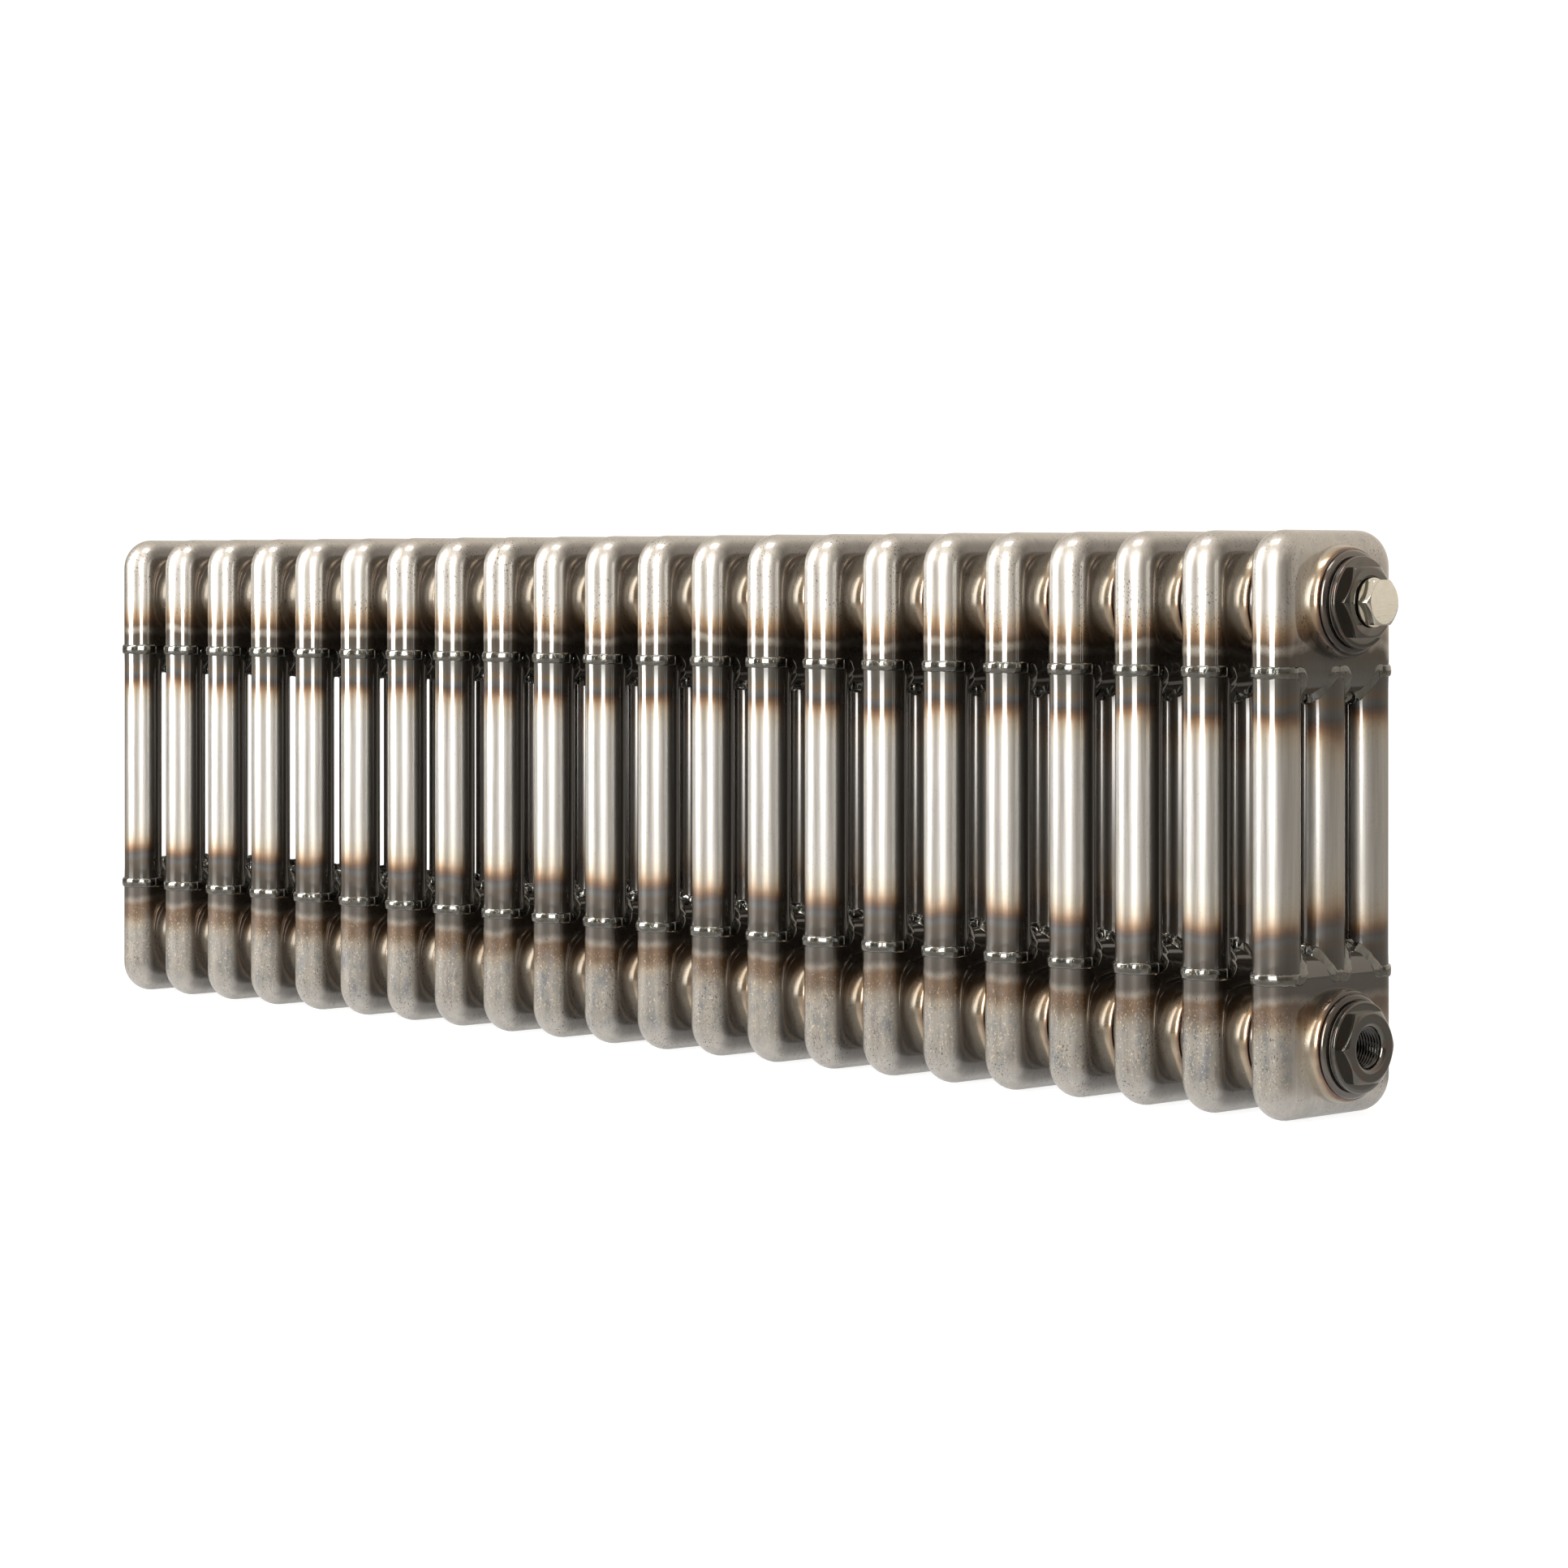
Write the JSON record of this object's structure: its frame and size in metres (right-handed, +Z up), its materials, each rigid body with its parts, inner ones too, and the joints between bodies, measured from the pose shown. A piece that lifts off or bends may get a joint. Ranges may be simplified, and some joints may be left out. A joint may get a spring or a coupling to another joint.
{
  "type": "column radiator",
  "caption": "Low, wide column radiator of welded steel tubes in clear-lacquered raw metal, with reducing bushes, a blanking plug, a bleed valve and open bottom connections.",
  "frame": {"origin": "centre of the overall bounding box, at the underside of the lower headers", "axes": "+X along the row of sections towards the blanking plug, -Y towards the room, +Y towards the wall, +Z up"},
  "size_m": [1.0476, 0.097, 0.3],
  "materials": {
    "lacquered_steel": "raw drawn steel under clear lacquer, heat-tinted gold, brown and blue-grey round the welds",
    "bush_steel": "dark nickel-plated steel, glossy",
    "bright_plating": "polished",
    "bleed_brass": "machined",
    "seal_rubber": "matt black"
  },
  "bodies": {
    "radiator": {"section_01": "lacquered_steel", "section_02": "lacquered_steel", "section_03": "lacquered_steel", "section_04": "lacquered_steel", "section_05": "lacquered_steel", "section_06": "lacquered_steel", "section_07": "lacquered_steel", "section_08": "lacquered_steel", "section_09": "lacquered_steel", "section_10": "lacquered_steel", "section_11": "lacquered_steel", "section_12": "lacquered_steel", "section_13": "lacquered_steel", "section_14": "lacquered_steel", "section_15": "lacquered_steel", "section_16": "lacquered_steel", "section_17": "lacquered_steel", "section_18": "lacquered_steel", "section_19": "lacquered_steel", "section_20": "lacquered_steel", "section_21": "lacquered_steel", "section_22": "lacquered_steel", "bush_bottom_left": "bush_steel", "bush_bottom_right": "bush_steel", "bush_top_left": "bush_steel", "bush_top_right": "bush_steel", "bush_seal_bottom_left": "seal_rubber", "bush_seal_bottom_right": "seal_rubber", "bush_seal_top_left": "seal_rubber", "bush_seal_top_right": "seal_rubber", "blanking_plug_seal": "seal_rubber", "vent_plug_seal": "seal_rubber", "blanking_plug": "bright_plating", "vent_plug": "bright_plating"},
    "bleed_screw": {"bleed_screw": "bleed_brass"}
  },
  "joints": [
    {"name": "bleed_screw_turn", "type": "hinge", "parent": "radiator", "child": "bleed_screw", "pos_m": [-0.5225, 0, 0.263], "axis": [-1, 0, 0], "range_deg": [0, 360]}
  ]
}
